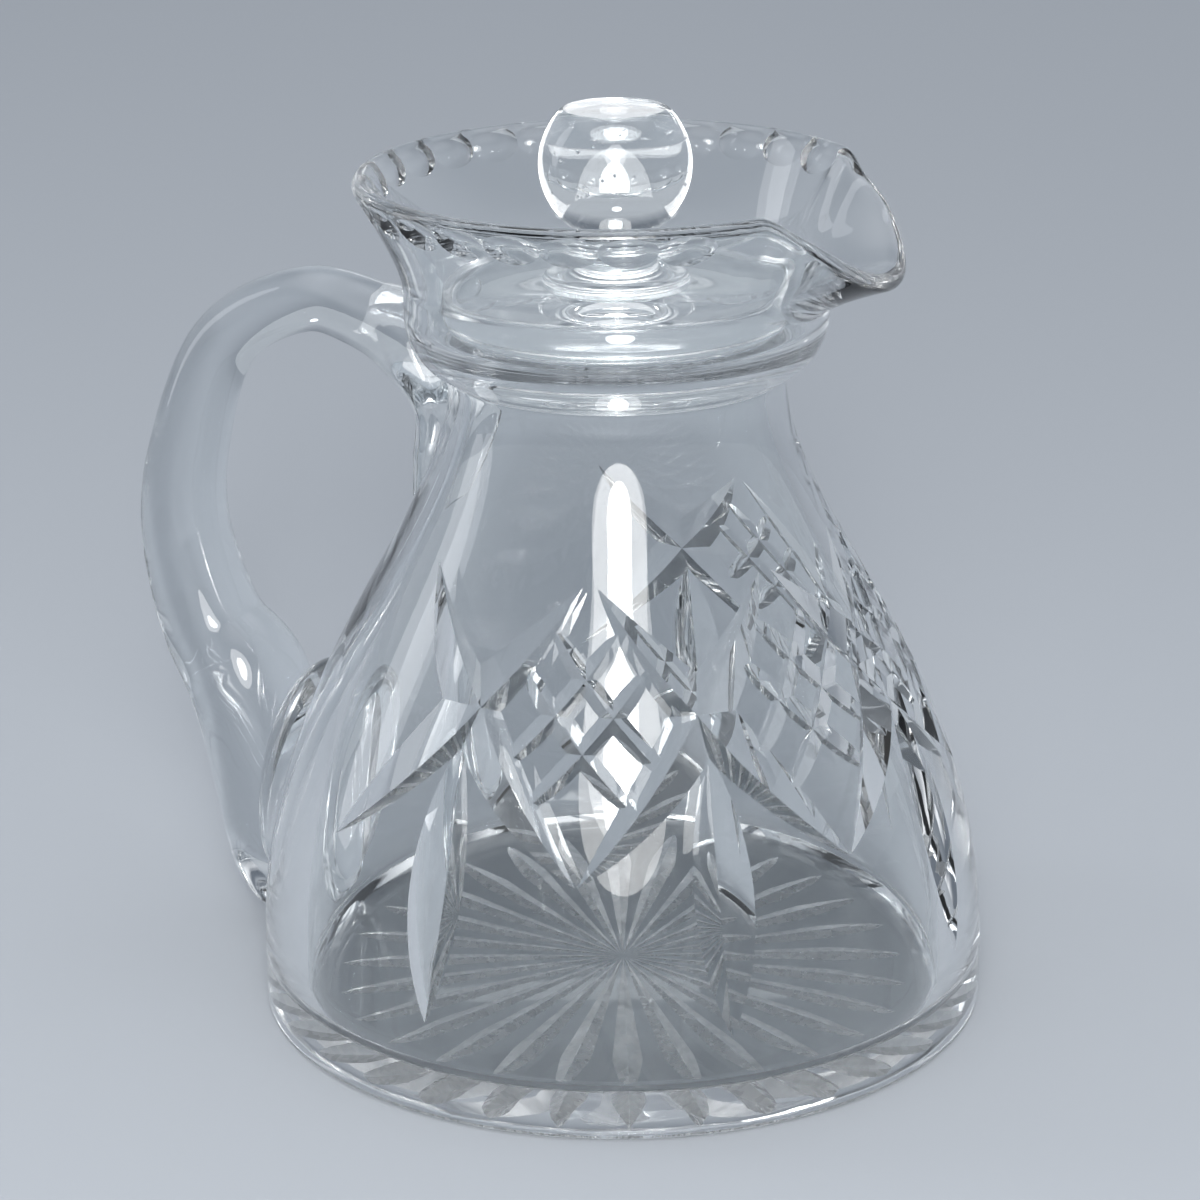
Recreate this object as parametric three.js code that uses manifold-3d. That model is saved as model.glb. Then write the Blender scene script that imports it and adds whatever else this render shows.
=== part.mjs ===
// A lidded cut glass jug. The vessel is heavy blown glass: a star-cut base, a wide
// bell-shaped body with a mitre-cut band of hatched diamonds and leaves, a ringed neck,
// and a fluted funnel mouth with a turned-down pouring lip. A thick handle is applied
// to it. The loose lid is a solid plate with a ball knob, resting on a ledge in the neck.
// Millimetres, +Z up. Everything is drawn about the vessel's own axis, with the lip
// towards +X and the handle towards -X. The last lines centre the jug over the origin.

import * as THREE from 'three';
import { mergeVertices } from 'three/addons/utils/BufferGeometryUtils.js';
import Module from 'manifold-3d';

const wasm = await Module();
wasm.setup();

// Vessel, outside
const baseRadius = 60;
const footBevel = 1.2;
const sideHeight = 9;
const lowerCurvePull = 47;
const upperCurvePull = 24;
const neckRadius = 27.1;
const neckHeight = 106;
const ringBulge = 6.9;
const ringRise = 11.5;
const ringUnderside = 1.8;
const ringTuckAngle = -72;
const collarHeight = 4;
const funnelHeight = 17.9;
const funnelFlare = 7.5;
const funnelBendOut = 0.4;
const funnelBendShare = 0.28;
const rimThickness = 3;

// Vessel, inside
const floorThickness = 5;
const floorFillet = 6;
const floorFilletRise = 3.4;
const lowerWall = 6.6;
const neckWall = 3.7;
const collarWall = 3.4;
const seatRise = 8.2;
const seatEdgeRound = 2.5;

// Pouring lip, pulled out and turned down at the front of the rim, a little off the plane
// of the handle. The crown and skirt powers say how broad its middle is and how softly it
// dies into the round rim.
const lipTurn = THREE.MathUtils.degToRad(8);
const lipHalfAngle = THREE.MathUtils.degToRad(41);
const lipReach = 4.8;
const lipReachCrown = 1.6;
const lipDrop = 13.2;
const lipDropCrown = 2.1;
const lipDropSkirt = 1.56;
const lipThroatDrop = 3;
const pinchAngle = THREE.MathUtils.degToRad(33);
const pinchSpread = THREE.MathUtils.degToRad(5);
const pinchDepth = 1.1;

// Flutes cut round the outside of the rim
const fluteCount = 21;
const flutePitch = THREE.MathUtils.degToRad(12.65);
const fluteTurn = THREE.MathUtils.degToRad(3.5);
const fluteWheelRadius = 11.4;
const fluteDepth = 1.35;
const fluteDrop = 1.9;
const wheelSides = 16;
const wheelRings = 10;

// Band of mitre cuts round the body: crossings, with a hatched diamond between each two.
// A run-out power says how late along a cut its depth starts to die away, and a fan
// share how much steeper or flatter a hatch cut is than the diamond's own border.
const crossingCount = 5;
const crossingPitch = THREE.MathUtils.degToRad(48.65);
const crossingHeight = 64.2;
const diamondRise = 17.7;
const diamondFall = 24.2;
const mitreDepth = 2.9;
const mitreRunOut = 2.2;
const mitreHalfAngle = THREE.MathUtils.degToRad(58);
const hatchSpacing = 10.2;
const hatchFanUp = 1.16;
const hatchFanDown = 0.84;
const hatchDepth = 1.1;
const hatchRunOut = 5;
const hatchHalfAngle = THREE.MathUtils.degToRad(58);
const leafGap = 5;
const leafLength = 43;
const leafDepth = 3;
const leafHalfAngle = THREE.MathUtils.degToRad(60);

// Star cut under the base
const rayCount = 28;
const starRadius = 48.5;
const rayShoulder = 36;
const rayHalfAngle = THREE.MathUtils.degToRad(62);
const rayShare = 0.6;

// Handle: a rod from the neck, over and down to a long pad on the body. The root is where
// it leaves the neck, the elbow where it meets the body, the pad the broad part below it.
const handleReach = 89.9;
const handleTopHeight = 118.5;
const handleShoulderHeight = 86;
const handleGripHeight = 71.2;
const handleBendHeight = 53.6;
const handleElbowHeight = 43.8;
const padHeight = 29.5;
const padFootHeight = 13;
const handleTailHeight = 6;
const handleTipHeight = 2.6;
const rootTailHeight = 82.3;
const rootTailLength = 16.7;
const rodTopThickness = 10;
const rodTopWidth = 13;
const rodGripThickness = 15.2;
const rodGripWidth = 15.5;
const rootThickness = 14;
const rootWidth = 22;
const rootTailThickness = 9.4;
const bendStandoff = 26.6;
const elbowStandoff = 15.7;
const elbowThickness = 24;
const elbowWidth = 25;
const padStandoff = 6.6;
const padThickness = 28;
const padWidth = 29;
const padFootStandoff = 6.6;
const padFootThickness = 19.5;
const padFootWidth = 25;
const tailStandoff = 5;
const tailThickness = 13.5;
const tailWidth = 18;
const tailTipStandoff = 3.2;
const tailTipThickness = 5;
const tailTipWidth = 7;

// Lid
const lidPlay = 2.6;
const lidThickness = 7.5;
const lidEdgeRound = 3.3;
const lidTopBevel = 0.8;
const knobFootRadius = 11.8;
const knobFootHeight = 1.6;
const knobFootEdge = 1;
const knobWaistRadius = 6.3;
const knobBallRadius = 12.2;
const knobBallRise = 18.4;
const knobFlatRise = 8.9;

// Space kept between pieces that touch. Under the handle it is drawn level, and a little
// larger because the body slopes there.
const restGap = 0.3;
const handleGap = 1.1 * restGap;

// How far a cutter stands clear of the glass, and how far above it a cut starts and ends
const cutterClear = 1.5;
const cutEndRise = 0.02;

// Facets
const vesselSides = 60;
const lidSides = 48;
const knobSides = 36;
const bodyCurveSteps = 8;
const innerCurveSteps = 6;
const ringSteps = 4;
const funnelSteps = 4;
const rimSteps = 3;
const filletSteps = 2;
const mitreSteps = 4;
const leafSteps = 8;
const raySteps = 8;
const handleSteps = 36;
const handleSides = 14;
const knobWaistSteps = 4;
const knobBallSteps = 8;

const ringHeight = neckHeight + ringRise;
const ringRadius = neckRadius + ringBulge;
const collarTop = ringHeight + collarHeight;
const rimHeight = collarTop + funnelHeight;
const rimRadius = ringRadius + funnelFlare;
const seatHeight = neckHeight + seatRise;
const boreRadius = neckRadius - neckWall;
const collarInnerRadius = ringRadius - collarWall;

const glass = (name, color, roughness) =>
  new THREE.MeshStandardMaterial({ name, color, roughness, metalness: 0, transparent: true, opacity: 0.45 });
const vesselGlass = glass('clear_cut_glass', 0xdfe6ea, 0.04);
const handleGlass = glass('clear_applied_glass', 0xd6dfe4, 0.05);
const lidGlass = glass('clear_lid_glass', 0xe2e9ec, 0.05);

// Solids: a closed geometry becomes one that can be joined and cut, and comes back
function toSolid(geometry) {
  const bare = geometry.clone();
  bare.deleteAttribute('normal');
  bare.deleteAttribute('uv');
  const merged = mergeVertices(bare, 1e-4);
  return new wasm.Manifold(new wasm.Mesh({
    numProp: 3,
    vertProperties: new Float32Array(merged.attributes.position.array),
    triVerts: new Uint32Array(merged.index.array),
  }));
}

function toGeometry(solid) {
  const mesh = solid.getMesh();
  const geometry = new THREE.BufferGeometry();
  geometry.setAttribute('position', new THREE.BufferAttribute(mesh.vertProperties, 3));
  geometry.setIndex(new THREE.BufferAttribute(mesh.triVerts, 1));
  geometry.computeVertexNormals();
  return geometry;
}

function joined(solids) {
  return solids.reduce((whole, solid) => whole.add(solid));
}

function namedMesh(name, geometry, material) {
  const mesh = new THREE.Mesh(geometry, material);
  mesh.name = name;
  return mesh;
}

// A turned shape: the outline may change with the angle round the axis
function turned(outlineAt, sides) {
  const lathe = new THREE.LatheGeometry(outlineAt(0), sides);
  const position = lathe.attributes.position;
  const rows = position.count / (sides + 1);
  for (let side = 0; side <= sides; side++) {
    const angle = (side % sides) / sides * 2 * Math.PI;
    outlineAt(angle).forEach((point, row) => {
      position.setXYZ(side * rows + row, point.x * Math.cos(angle), point.x * Math.sin(angle), point.y);
    });
  }
  const solidFaces = toSolid(lathe);
  return solidFaces.volume() > 0 ? solidFaces : toSolid(flipped(lathe));
}

function flipped(geometry) {
  const index = geometry.index.array;
  for (let corner = 0; corner < index.length; corner += 3) {
    const first = index[corner];
    index[corner] = index[corner + 1];
    index[corner + 1] = first;
  }
  return geometry;
}

// A loft through closed rings of points, capped at both ends
function loft(rings) {
  const sides = rings[0].length;
  const points = rings.flat();
  const faces = [];
  for (let ring = 0; ring + 1 < rings.length; ring++) {
    for (let side = 0; side < sides; side++) {
      const next = (side + 1) % sides;
      const a = ring * sides + side;
      const b = ring * sides + next;
      faces.push(a, b, b + sides, a, b + sides, a + sides);
    }
  }
  const last = (rings.length - 1) * sides;
  for (let side = 1; side + 1 < sides; side++) {
    faces.push(0, side + 1, side, last, last + side, last + side + 1);
  }
  const geometry = new THREE.BufferGeometry().setFromPoints(points);
  geometry.setIndex(faces);
  const solid = toSolid(geometry);
  return solid.volume() > 0 ? solid : toSolid(flipped(geometry));
}

// Outlines in the plane of the axis: x is the radius and y the height
const point = (radius, height) => new THREE.Vector2(radius, height);

function bodyCurve(radiusBelow, heightBelow, radiusAbove) {
  const riseBelow = sideHeight + lowerCurvePull;
  return new THREE.CubicBezierCurve(
    point(radiusBelow, heightBelow),
    point(radiusBelow, riseBelow),
    point(radiusAbove, neckHeight - upperCurvePull),
    point(radiusAbove, neckHeight),
  );
}

const outerCurve = bodyCurve(baseRadius, sideHeight, neckRadius);
const innerBottom = floorThickness + floorFilletRise;
const innerCurve = bodyCurve(baseRadius - lowerWall, innerBottom, boreRadius);

function arc(centreX, centreY, radiusX, radiusY, from, to, steps) {
  const turn = THREE.MathUtils.degToRad;
  return Array.from({ length: steps + 1 }, (unused, step) => {
    const angle = turn(from + (to - from) * step / steps);
    return point(centreX + radiusX * Math.cos(angle), centreY + radiusY * Math.sin(angle));
  });
}

// How much of the lip's drop and reach there is at an angle from its middle
function lipShare(angle) {
  const away = Math.abs(Math.atan2(Math.sin(angle - lipTurn), Math.cos(angle - lipTurn)));
  const share = Math.min(1, away / lipHalfAngle);
  const pinch = Math.exp(-(((away - pinchAngle) / pinchSpread) ** 2));
  return {
    drop: (1 - share ** lipDropCrown) ** lipDropSkirt,
    reach: lipReach * (1 - share ** lipReachCrown) - (share < 1 ? pinchDepth * pinch : 0),
  };
}

// The funnel wall at an angle: its middle line, and the same line moved to either face
function funnelWall(angle) {
  const lip = lipShare(angle);
  const footHeight = collarTop - lipThroatDrop * lip.drop;
  const topRadius = rimRadius - rimThickness / 2 + lip.reach;
  const topHeight = rimHeight - rimThickness / 2 - lipDrop * lip.drop;
  const footRadius = ringRadius - collarWall / 2;
  const bendHeight = THREE.MathUtils.lerp(footHeight, topHeight, funnelBendShare) + lip.drop;
  const bend = point(footRadius + funnelBendOut, bendHeight);
  const middle = new THREE.QuadraticBezierCurve(
    point(footRadius, footHeight), bend, point(topRadius, topHeight),
  );
  const face = (side) => Array.from({ length: funnelSteps + 1 }, (unused, step) => {
    const along = step / funnelSteps;
    const thickness = collarWall + (rimThickness - collarWall) * along;
    const tangent = middle.getTangent(along);
    return middle.getPoint(along).add(point(tangent.y, -tangent.x).multiplyScalar(side * thickness / 2));
  });
  const lean = middle.getTangent(1).angle() * 180 / Math.PI;
  const rim = arc(topRadius, topHeight, rimThickness / 2, rimThickness / 2, lean - 90, lean + 90, rimSteps);
  return { outside: face(1), rim: rim.slice(1, -1), inside: face(-1).reverse() };
}

function outsideOutline(angle) {
  return [
    point(baseRadius - footBevel, 0),
    point(baseRadius, footBevel),
    ...outerCurve.getPoints(bodyCurveSteps),
    ...arc(neckRadius, ringHeight, ringBulge, ringRise - ringUnderside, ringTuckAngle, 0, ringSteps),
    ...funnelWall(angle).outside,
  ];
}

function vesselOutline(angle) {
  const wall = funnelWall(angle);
  const seatOuter = collarInnerRadius - seatEdgeRound;
  return [
    point(0, 0),
    ...outsideOutline(angle),
    ...wall.rim,
    ...wall.inside,
    ...arc(seatOuter, seatHeight + seatEdgeRound, seatEdgeRound, seatEdgeRound, 0, -90, filletSteps),
    ...arc(boreRadius + seatEdgeRound, seatHeight - seatEdgeRound, seatEdgeRound, seatEdgeRound, 90, 180, filletSteps),
    ...innerCurve.getPoints(innerCurveSteps).reverse(),
    ...arc(baseRadius - lowerWall - floorFillet, innerBottom, floorFillet, floorFilletRise, 0, -90, filletSteps).slice(1),
    point(0, floorThickness),
  ];
}

// Where the outside of the body is at a height, and which way it faces
function bodySurface(angle, height) {
  let low = 0;
  let high = 1;
  while (high - low > 1e-5) {
    const middle = (low + high) / 2;
    if (outerCurve.getPoint(middle).y < height) low = middle;
    else high = middle;
  }
  const radius = outerCurve.getPoint(low).x;
  const slope = outerCurve.getTangent(low);
  const outward = new THREE.Vector3(Math.cos(angle), Math.sin(angle), 0);
  return {
    radius,
    place: outward.clone().multiplyScalar(radius).setZ(height),
    normal: outward.multiplyScalar(slope.y).setZ(-slope.x).normalize(),
  };
}

// A V cut: a three-cornered bar laid along a path, with its edge sunk to the depth
function vCut(placeAt, depthAt, halfAngle, stations) {
  const rings = [];
  for (let station = 0; station <= stations; station++) {
    const along = station / stations;
    const { place, normal } = placeAt(along);
    const ahead = placeAt(Math.min(1, along + 0.01)).place;
    const behind = placeAt(Math.max(0, along - 0.01)).place;
    const side = new THREE.Vector3().crossVectors(normal, ahead.sub(behind)).normalize();
    const depth = depthAt(along);
    const halfWidth = (depth + cutterClear) * Math.tan(halfAngle);
    const top = place.clone().addScaledVector(normal, cutterClear);
    rings.push([
      place.clone().addScaledVector(normal, -depth),
      top.clone().addScaledVector(side, halfWidth),
      top.clone().addScaledVector(side, -halfWidth),
    ]);
  }
  return loft(rings);
}

function bodyCut(from, to, depthAt, halfAngle, stations) {
  const placeAt = (along) => bodySurface(
    THREE.MathUtils.lerp(from.angle, to.angle, along),
    THREE.MathUtils.lerp(from.height, to.height, along),
  );
  return vCut(placeAt, depthAt, halfAngle, stations);
}

// Each mitre runs from a diamond's tip through a crossing to the next diamond's foot
const crossingAngle = (count) => (count - (crossingCount - 1) / 2) * crossingPitch;

function mitreArm(centreAngle, turn, rise) {
  const crossing = { angle: centreAngle, height: crossingHeight };
  const tip = { angle: centreAngle + turn * crossingPitch / 2, height: crossingHeight + rise };
  const depthAt = (along) => mitreDepth * (1 - along ** mitreRunOut) - cutEndRise;
  return bodyCut(crossing, tip, depthAt, mitreHalfAngle, mitreSteps);
}

function mitreCuts() {
  const arms = [];
  for (let count = 0; count < crossingCount; count++) {
    for (const turn of [-1, 1]) {
      arms.push(mitreArm(crossingAngle(count), turn, diamondRise));
      arms.push(mitreArm(crossingAngle(count), turn, -diamondFall));
    }
  }
  return arms;
}

// Hatching: in each diamond two cuts lean each way, fanned to follow its four borders
function hatchCuts() {
  const cuts = [];
  const half = crossingPitch / 2;
  for (let count = 0; count + 1 < crossingCount; count++) {
    const middle = crossingAngle(count) + half;
    for (const lean of [-1, 1]) {
      for (const level of [-1, 1]) {
        const slope = (level > 0 ? diamondRise * hatchFanUp : diamondFall * hatchFanDown) / half;
        const height = crossingHeight + level * hatchSpacing / 2;
        const above = (crossingHeight + diamondRise - height) / (slope + diamondRise / half);
        const below = (height - crossingHeight + diamondFall) / (slope + diamondFall / half);
        const end = (reach) => ({ angle: middle + lean * reach, height: height + slope * reach });
        const depthAt = (along) => hatchDepth * (1 - Math.abs(2 * along - 1) ** hatchRunOut) - cutEndRise;
        cuts.push(bodyCut(end(-below), end(above), depthAt, hatchHalfAngle, mitreSteps));
      }
    }
  }
  return cuts;
}

function leafCuts() {
  const depthAt = (along) => leafDepth * (1 - (2 * along - 1) ** 2) - cutEndRise;
  return Array.from({ length: crossingCount }, (unused, count) => {
    const top = { angle: crossingAngle(count), height: crossingHeight - leafGap };
    const foot = { angle: crossingAngle(count), height: crossingHeight - leafGap - leafLength };
    return bodyCut(top, foot, depthAt, leafHalfAngle, leafSteps);
  });
}

function starCuts() {
  const widest = rayShare * Math.PI * rayShoulder / rayCount;
  return Array.from({ length: rayCount }, (unused, count) => {
    const angle = count / rayCount * 2 * Math.PI;
    const outward = new THREE.Vector3(Math.cos(angle), Math.sin(angle), 0);
    const down = new THREE.Vector3(0, 0, -1);
    const placeAt = (along) => ({ place: outward.clone().multiplyScalar(starRadius * along), normal: down });
    const depthAt = (along) => {
      const radius = starRadius * along;
      const taper = (starRadius - radius) / (starRadius - rayShoulder);
      const halfWidth = radius < rayShoulder ? widest * radius / rayShoulder : widest * Math.sqrt(taper);
      return halfWidth / Math.tan(rayHalfAngle) - cutEndRise;
    };
    return vCut(placeAt, depthAt, rayHalfAngle, raySteps);
  });
}

function rimFlutes() {
  const wheel = toSolid(new THREE.SphereGeometry(fluteWheelRadius, wheelSides, wheelRings));
  return Array.from({ length: fluteCount }, (unused, count) => {
    const angle = Math.PI + fluteTurn + (count - (fluteCount - 1) / 2) * flutePitch;
    const lip = lipShare(angle);
    const away = rimRadius + lip.reach + fluteWheelRadius - fluteDepth;
    const height = rimHeight - fluteDrop - lipDrop * lip.drop;
    return wheel.translate([away * Math.cos(angle), away * Math.sin(angle), height]);
  });
}

function jugBody() {
  const blank = turned(vesselOutline, vesselSides);
  const cuts = [...mitreCuts(), ...hatchCuts(), ...leafCuts(), ...starCuts(), ...rimFlutes()];
  return namedMesh('jug_body', toGeometry(blank.subtract(joined(cuts))), vesselGlass);
}

// The handle's middle line runs from the tip of its upper tail to the tip of the lower one.
// Each station is how far out from the axis it is, how high, how thick and how wide.
function handleStations() {
  const onBody = (height, out) => bodySurface(Math.PI, height).radius + out;
  const gripLine = handleReach - rodGripThickness / 2;
  const topLine = (ringRadius + gripLine) / 2 - 2;
  const topHeight = handleTopHeight - rodTopThickness / 2;
  const tailMiddle = rootTailHeight + rootTailLength / 2 - 1;
  const tailTop = rootTailHeight + rootTailLength;
  return [
    [onBody(rootTailHeight, 0), rootTailHeight, 0.4 * rootTailThickness, 0.4 * rootWidth],
    [onBody(tailMiddle, 1), tailMiddle, 0.74 * rootTailThickness, 0.7 * rootWidth],
    [onBody(tailTop, 2.5), tailTop, rootTailThickness, 0.85 * rootWidth],
    [ringRadius + 1.8, neckHeight + 1.8, rootThickness, 0.85 * rootWidth],
    [ringRadius + 11, topHeight - 1.7, rodTopThickness + 1.6, rodTopWidth + 2],
    [topLine, topHeight, rodTopThickness, rodTopWidth],
    [gripLine - 10.2, topHeight - 8.6, rodTopThickness + 1, rodTopWidth + 0.5],
    [gripLine - 1.9, handleShoulderHeight, rodGripThickness - 2, rodGripWidth - 1],
    [gripLine, handleGripHeight, rodGripThickness, rodGripWidth],
    [onBody(handleBendHeight, bendStandoff), handleBendHeight, rodGripThickness + 2.4, rodGripWidth + 3],
    [onBody(handleElbowHeight, elbowStandoff), handleElbowHeight, elbowThickness, elbowWidth],
    [onBody(padHeight, padStandoff), padHeight, padThickness, padWidth],
    [onBody(padFootHeight, padFootStandoff), padFootHeight, padFootThickness, padFootWidth],
    [onBody(handleTailHeight, tailStandoff), handleTailHeight, tailThickness, tailWidth],
    [onBody(handleTipHeight, tailTipStandoff), handleTipHeight, tailTipThickness, tailTipWidth],
  ];
}

// Its blank runs into the glass, and is then cut by the vessel grown by the gap
function handle() {
  const stations = handleStations();
  const line = new THREE.CatmullRomCurve3(stations.map(([out, height]) => new THREE.Vector3(-out, 0, height)));
  const size = new THREE.CatmullRomCurve3(stations.map(([, , thick, wide]) => new THREE.Vector3(thick, wide, 0)));
  const rings = [];
  for (let step = 0; step <= handleSteps; step++) {
    const along = step / handleSteps;
    const centre = line.getPoint(along);
    const tangent = line.getTangent(along);
    const across = new THREE.Vector3(tangent.z, 0, -tangent.x);
    const { x: thick, y: wide } = size.getPoint(along);
    const ring = [];
    for (let side = 0; side < handleSides; side++) {
      const angle = side / handleSides * 2 * Math.PI;
      const corner = centre.clone().addScaledVector(across, thick / 2 * Math.cos(angle));
      corner.y += wide / 2 * Math.sin(angle);
      ring.push(corner);
    }
    rings.push(ring);
  }
  const grown = (angle) => {
    const outline = outsideOutline(angle).map(({ x, y }) => point(x + handleGap, y));
    return [point(0, -1), point(outline[0].x, -1), ...outline, point(0, rimHeight)];
  };
  const rod = loft(rings).subtract(turned(grown, vesselSides));
  return namedMesh('handle', toGeometry(rod), handleGlass);
}

// The lid: a plate that rests on the ledge, and the knob on its middle
const lidBottom = seatHeight + restGap;
const lidTop = lidBottom + lidThickness;
const lidRadius = collarInnerRadius - lidPlay;

function lidPlate() {
  const outline = () => [
    point(0, lidBottom),
    ...arc(lidRadius - lidEdgeRound, lidBottom + lidEdgeRound, lidEdgeRound, lidEdgeRound, -90, 0, filletSteps + 1),
    point(lidRadius, lidTop - lidTopBevel),
    point(lidRadius - lidTopBevel, lidTop),
    point(0, lidTop),
  ];
  return namedMesh('lid_plate', toGeometry(turned(outline, lidSides)), lidGlass);
}

function lidKnob() {
  const bottom = lidTop + restGap;
  const ballCentre = lidTop + knobBallRise;
  const startAngle = -Math.acos(knobWaistRadius / knobBallRadius) * 180 / Math.PI;
  const endAngle = Math.asin(knobFlatRise / knobBallRadius) * 180 / Math.PI;
  const waistTop = ballCentre - Math.sqrt(knobBallRadius ** 2 - knobWaistRadius ** 2);
  const waist = new THREE.QuadraticBezierCurve(
    point(knobFootRadius - knobFootEdge, bottom + knobFootHeight),
    point(knobWaistRadius, bottom + knobFootHeight + knobFootEdge),
    point(knobWaistRadius, waistTop),
  );
  const outline = () => [
    point(0, bottom),
    point(knobFootRadius - knobFootEdge / 2, bottom),
    point(knobFootRadius, bottom + knobFootHeight / 2),
    ...waist.getPoints(knobWaistSteps),
    ...arc(0, ballCentre, knobBallRadius, knobBallRadius, startAngle, endAngle, knobBallSteps).slice(1),
    point(0, ballCentre + knobFlatRise),
  ];
  return namedMesh('lid_knob', toGeometry(turned(outline, knobSides)), lidGlass);
}

// The origin is under the middle of the jug's box, which the handle pulls off the axis
const jug = new THREE.Group();
jug.position.x = (handleReach - baseRadius) / 2;
jug.add(jugBody(), handle(), lidPlate(), lidKnob());

export default jug;
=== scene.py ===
"""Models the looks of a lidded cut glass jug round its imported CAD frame, and the stage it stands on."""

import math
import random

import bmesh
import bpy
import numpy as np
from bpy.props import FloatProperty, FloatVectorProperty, IntProperty, PointerProperty
from bpy.types import Operator, Panel, PropertyGroup
from mathutils import Matrix, Vector
from mathutils.geometry import interpolate_bezier


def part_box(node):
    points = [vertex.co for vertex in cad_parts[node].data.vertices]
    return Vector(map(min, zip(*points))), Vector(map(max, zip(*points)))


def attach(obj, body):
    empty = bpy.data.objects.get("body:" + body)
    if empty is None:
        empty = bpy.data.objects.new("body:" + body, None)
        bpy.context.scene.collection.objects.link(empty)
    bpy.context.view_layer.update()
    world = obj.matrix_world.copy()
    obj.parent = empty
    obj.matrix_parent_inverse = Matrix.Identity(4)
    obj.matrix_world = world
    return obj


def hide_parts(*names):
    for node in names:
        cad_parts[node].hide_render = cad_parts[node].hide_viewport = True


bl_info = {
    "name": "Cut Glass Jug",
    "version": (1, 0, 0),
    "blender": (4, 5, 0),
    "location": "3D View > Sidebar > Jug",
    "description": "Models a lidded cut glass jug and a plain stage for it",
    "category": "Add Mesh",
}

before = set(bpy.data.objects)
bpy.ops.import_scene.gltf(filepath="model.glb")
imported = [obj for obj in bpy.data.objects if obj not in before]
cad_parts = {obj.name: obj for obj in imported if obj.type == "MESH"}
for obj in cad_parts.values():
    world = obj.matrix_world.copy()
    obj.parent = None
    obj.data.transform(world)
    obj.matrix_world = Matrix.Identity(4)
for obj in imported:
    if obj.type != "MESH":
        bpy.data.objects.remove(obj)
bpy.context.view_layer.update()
vessel_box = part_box("jug_body")

MILLIMETRE = 0.001
BASE_RADIUS = (vessel_box[1].y - vessel_box[0].y) / 2
AXIS_X = vessel_box[0].x + BASE_RADIUS
AXIS = Vector((AXIS_X, 0, 0))
FULL_TURN = 2 * math.pi
JOINT_GAP = 0.05 * MILLIMETRE
WELD_REACH = 0.002 * MILLIMETRE
STRAY_DEGREES = (1.0, -0.25, -1.25, -0.15, 1.0)
VESSEL_SIDES = 192
CORE_SIDES = 96
PLATE_SIDES = 160
KNOB_SIDES = 128
ROD_CORNERS = 72
ROD_STATIONS = 150
RUN_REACH = 0.002
SEED_PLACES = ((-0.8, 0.3), (-0.6, 0.3), (-0.35, 0.3))
SEED_SPREAD = 0.85
SEED_RADII = (0.08, 0.24)
SMOOTH_CREASE = math.radians(24)

MARK_NAMES = ("Wave Scale", "Wave Height", "Line Scale", "Line Height", "Haze", "Stretch", "Haze Scale")
USUAL_MARKS = (60, 0.02, 400, 0.004, 0.01, 0.15, 300)
MARKS = {
    "blown_glass": (55, 0.03, 260, 0.002, 0.02, 0.06),
    "cut_facet": (180, 0.008, 1500, 0.0012, 0.04, 0.4),
    "ground_ray": (300, 0.004, 2000, 0.001, 0.55, 1, 500),
    "drawn_glass": (60, 0.12, 420, 0.012, 0.02, 0.12),
    "ground_plate_glass": (90, 0.01, 900, 0.001, 0.04, 1),
    "knob_glass": (70, 0.02, 600, 0.001, 0.02, 0.5),
}

LENS = 111.34
CAMERA_FROM_AXIS = Vector((0.24047, -0.52083, 0.26698))
CAMERA_YAW, CAMERA_PITCH, CAMERA_ROLL = (math.radians(turn) for turn in (25.1, 19.147, -0.648))
MIDDLE = (0, 0, 0.07)
LID_MIDDLE = (0, 0, 0.122)
# name, place, aim, width, height, watts and colour of each panel of light
PANELS = (
    ("key_core", (0.398, -0.814, 0.51), MIDDLE, 0.08, 0.16, 1.6, (1, 0.99, 0.97)),
    ("key_middle", (0.406, -0.83, 0.52), MIDDLE, 0.24, 0.38, 3.2, (1, 0.99, 0.97)),
    ("key_edge", (0.414, -0.847, 0.53), MIDDLE, 0.55, 0.65, 5, (1, 0.99, 0.97)),
    ("lid_panel", (-0.503, 1.09, 0.43), LID_MIDDLE, 0.12, 0.08, 0.03, (1, 1, 1)),
    ("left_strip", (-0.931, -0.215, 0.4), MIDDLE, 0.3, 0.9, 1.2, (0.97, 0.98, 1)),
)


# Properties

def size(name, description, millimetres):
    return FloatProperty(name=name, description=description, default=millimetres * MILLIMETRE,
                         unit="LENGTH", precision=5)


def angle(name, description, degrees):
    return FloatProperty(name=name, description=description, default=math.radians(degrees),
                         subtype="ANGLE", unit="ROTATION")


def number(name, description, default):
    return FloatProperty(name=name, description=description, default=default, subtype="FACTOR")


def count(name, description, default):
    return IntProperty(name=name, description=description, default=default, min=1)


def colour(name, description, default):
    return FloatVectorProperty(name=name, description=description, default=default,
                               subtype="COLOR", size=3, min=0, max=1)


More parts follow.
